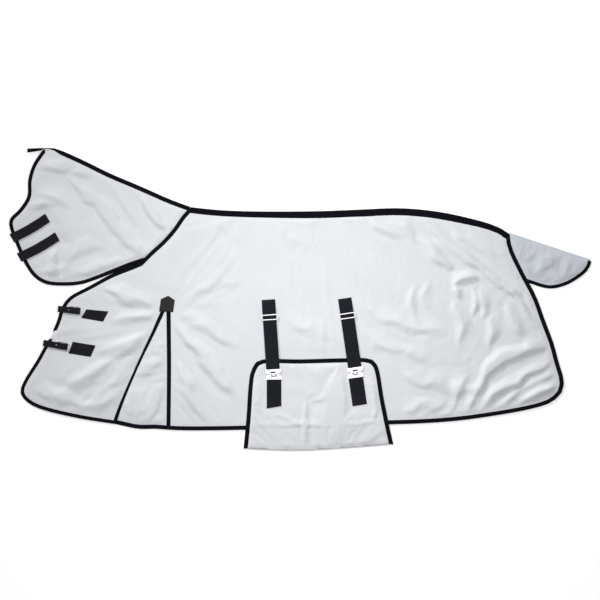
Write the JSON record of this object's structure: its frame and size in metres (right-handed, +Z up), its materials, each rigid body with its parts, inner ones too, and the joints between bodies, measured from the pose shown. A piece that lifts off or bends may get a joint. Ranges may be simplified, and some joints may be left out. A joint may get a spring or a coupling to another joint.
{
  "type": "horse fly sheet",
  "caption": "Fly sheet for a horse, folded flat along its spine, with an attached neck cover, a tail flap and a belly flap held by webbing surcingles.",
  "frame": {"origin": "middle of the footprint, on the surface that the folded sheet lies on", "axes": "+X from the head end to the tail end, +Y from the belly to the spine, +Z up, with the near (left) side of the sheet on top"},
  "size_m": [2.1533, 1.1189, 0.0146],
  "materials": {
    "mesh_cloth": "fine silver-white polyester mesh with a faint sheen",
    "satin_cloth": "smooth silver-blue satin polyester",
    "binding": "near-black ribbed polyester binding tape",
    "webbing": "near-black woven webbing with stitched edges",
    "leather_patch": "charcoal imitation leather",
    "steel": "bright nickel-plated pressed steel"
  },
  "bodies": {
    "root": {"near_body_panel": "mesh_cloth", "off_body_panel": "mesh_cloth", "near_gusset_panel": "mesh_cloth", "off_gusset_panel": "mesh_cloth", "belly_band": "mesh_cloth", "near_hem_binding": "binding", "near_slit_binding_rear": "binding", "near_slit_binding_front": "binding", "near_front_binding": "binding", "near_neck_seam_binding": "binding", "near_gusset_binding": "binding", "off_hem_binding": "binding", "off_slit_binding_rear": "binding", "off_slit_binding_front": "binding", "off_front_binding": "binding", "off_neck_seam_binding": "binding", "off_gusset_binding": "binding", "spine_band": "binding", "gusset_patch": "leather_patch", "surcingle_front_anchor": "webbing", "surcingle_rear_anchor": "webbing", "chest_patch_upper": "webbing", "chest_patch_lower": "webbing", "chest_strap_upper_root": "webbing", "chest_strap_lower_root": "webbing", "chest_buckle_frame_upper": "steel", "chest_buckle_frame_lower": "steel"},
    "neck_cover": {"neck_near_panel": "mesh_cloth", "neck_off_panel": "mesh_cloth", "neck_near_binding": "binding", "neck_off_binding": "binding", "neck_crest_binding": "binding", "poll_tab": "binding", "neck_strap_upper_root": "webbing", "neck_strap_upper_loop_patch": "webbing", "neck_strap_lower_root": "webbing", "neck_strap_lower_loop_patch": "webbing"},
    "neck_strap_upper": {"neck_strap_upper": "webbing"},
    "neck_strap_lower": {"neck_strap_lower": "webbing"},
    "tail_flap": {"tail_flap_panel": "satin_cloth", "tail_flap_binding": "binding"},
    "belly_flap": {"belly_flap_panel": "mesh_cloth", "belly_flap_binding": "binding", "surcingle_front_catch": "steel", "surcingle_front_tab": "webbing", "surcingle_rear_catch": "steel", "surcingle_rear_tab": "webbing"},
    "surcingle_front": {"surcingle_front_strap": "webbing"},
    "surcingle_front_slider": {"surcingle_front_slider": "steel"},
    "surcingle_front_hook": {"surcingle_front_hook": "steel"},
    "surcingle_rear": {"surcingle_rear_strap": "webbing"},
    "surcingle_rear_slider": {"surcingle_rear_slider": "steel"},
    "surcingle_rear_hook": {"surcingle_rear_hook": "steel"},
    "chest_strap_upper": {"chest_strap_upper": "webbing"},
    "chest_prong_upper": {"chest_buckle_prong_upper": "steel"},
    "chest_strap_lower": {"chest_strap_lower": "webbing"},
    "chest_prong_lower": {"chest_buckle_prong_lower": "steel"}
  },
  "joints": [
    {"name": "neck_fold", "type": "hinge", "parent": "root", "child": "neck_cover", "pos_m": [-0.4925, 0.227, 0.0077], "axis": [0.6832, 0.7302, 0], "range_deg": [0, 150]},
    {"name": "tail_fold", "type": "hinge", "parent": "root", "child": "tail_flap", "pos_m": [0.7997, 0.1383, 0.0077], "axis": [0.3461, -0.9382, 0], "range_deg": [0, 160]},
    {"name": "belly_flap_fold", "type": "hinge", "parent": "root", "child": "belly_flap", "pos_m": [0, -0.5585, 0.005], "axis": [1, 0, 0], "range_deg": [0, 95]},
    {"name": "surcingle_front_lift", "type": "hinge", "parent": "root", "child": "surcingle_front", "pos_m": [-0.1162, -0.01412, 0.0127], "axis": [-0.9978, -0.0663, 0], "range_deg": [0, 162]},
    {"name": "surcingle_front_slide", "type": "slide", "parent": "surcingle_front", "child": "surcingle_front_slider", "axis": [0.0663, -0.9978, 0], "range_m": [0, 0.06]},
    {"name": "surcingle_front_hook_tilt", "type": "hinge", "parent": "surcingle_front", "child": "surcingle_front_hook", "pos_m": [-0.09987, -0.25993, 0.013], "axis": [-0.9978, -0.0663, 0], "range_deg": [0, 90]},
    {"name": "surcingle_rear_lift", "type": "hinge", "parent": "root", "child": "surcingle_rear", "pos_m": [0.16675, -0.00902, 0.0127], "axis": [-0.9895, -0.1444, 0], "range_deg": [0, 162]},
    {"name": "surcingle_rear_slide", "type": "slide", "parent": "surcingle_rear", "child": "surcingle_rear_slider", "axis": [0.1444, -0.9895, 0], "range_m": [0, 0.06]},
    {"name": "surcingle_rear_hook_tilt", "type": "hinge", "parent": "surcingle_rear", "child": "surcingle_rear_hook", "pos_m": [0.20232, -0.25279, 0.013], "axis": [-0.9895, -0.1444, 0], "range_deg": [0, 90]},
    {"name": "neck_strap_upper_turn", "type": "hinge", "parent": "neck_cover", "child": "neck_strap_upper", "pos_m": [-1.06217, 0.22532, 0.011], "axis": [0.5, -0.866, 0], "range_deg": [0, 170]},
    {"name": "neck_strap_lower_turn", "type": "hinge", "parent": "neck_cover", "child": "neck_strap_lower", "pos_m": [-1.03518, 0.15435, 0.011], "axis": [0.4848, -0.8746, 0], "range_deg": [0, 170]},
    {"name": "chest_strap_upper_turn", "type": "hinge", "parent": "root", "child": "chest_strap_upper", "pos_m": [-0.89134, -0.03686, 0.0129], "axis": [-0.1045, -0.9945, 0], "range_deg": [0, 170]},
    {"name": "chest_prong_upper_tilt", "type": "hinge", "parent": "root", "child": "chest_prong_upper", "pos_m": [-0.83232, -0.04306, 0.00935], "axis": [0.1045, 0.9945, 0], "range_deg": [0, 85]},
    {"name": "chest_strap_lower_turn", "type": "hinge", "parent": "root", "child": "chest_strap_lower", "pos_m": [-0.94533, -0.16277, 0.0129], "axis": [-0.1736, -0.9848, 0], "range_deg": [0, 170]},
    {"name": "chest_prong_lower_tilt", "type": "hinge", "parent": "root", "child": "chest_prong_lower", "pos_m": [-0.879, -0.17446, 0.00935], "axis": [0.1736, 0.9848, 0], "range_deg": [0, 85]}
  ],
  "couplings": [
    {"joint": "surcingle_front_lift", "follows": "belly_flap_fold", "ratio": 1.7},
    {"joint": "surcingle_rear_lift", "follows": "belly_flap_fold", "ratio": 1.7},
    {"joint": "chest_prong_upper_tilt", "follows": "chest_strap_upper_turn", "ratio": 0.5},
    {"joint": "chest_prong_lower_tilt", "follows": "chest_strap_lower_turn", "ratio": 0.5}
  ]
}
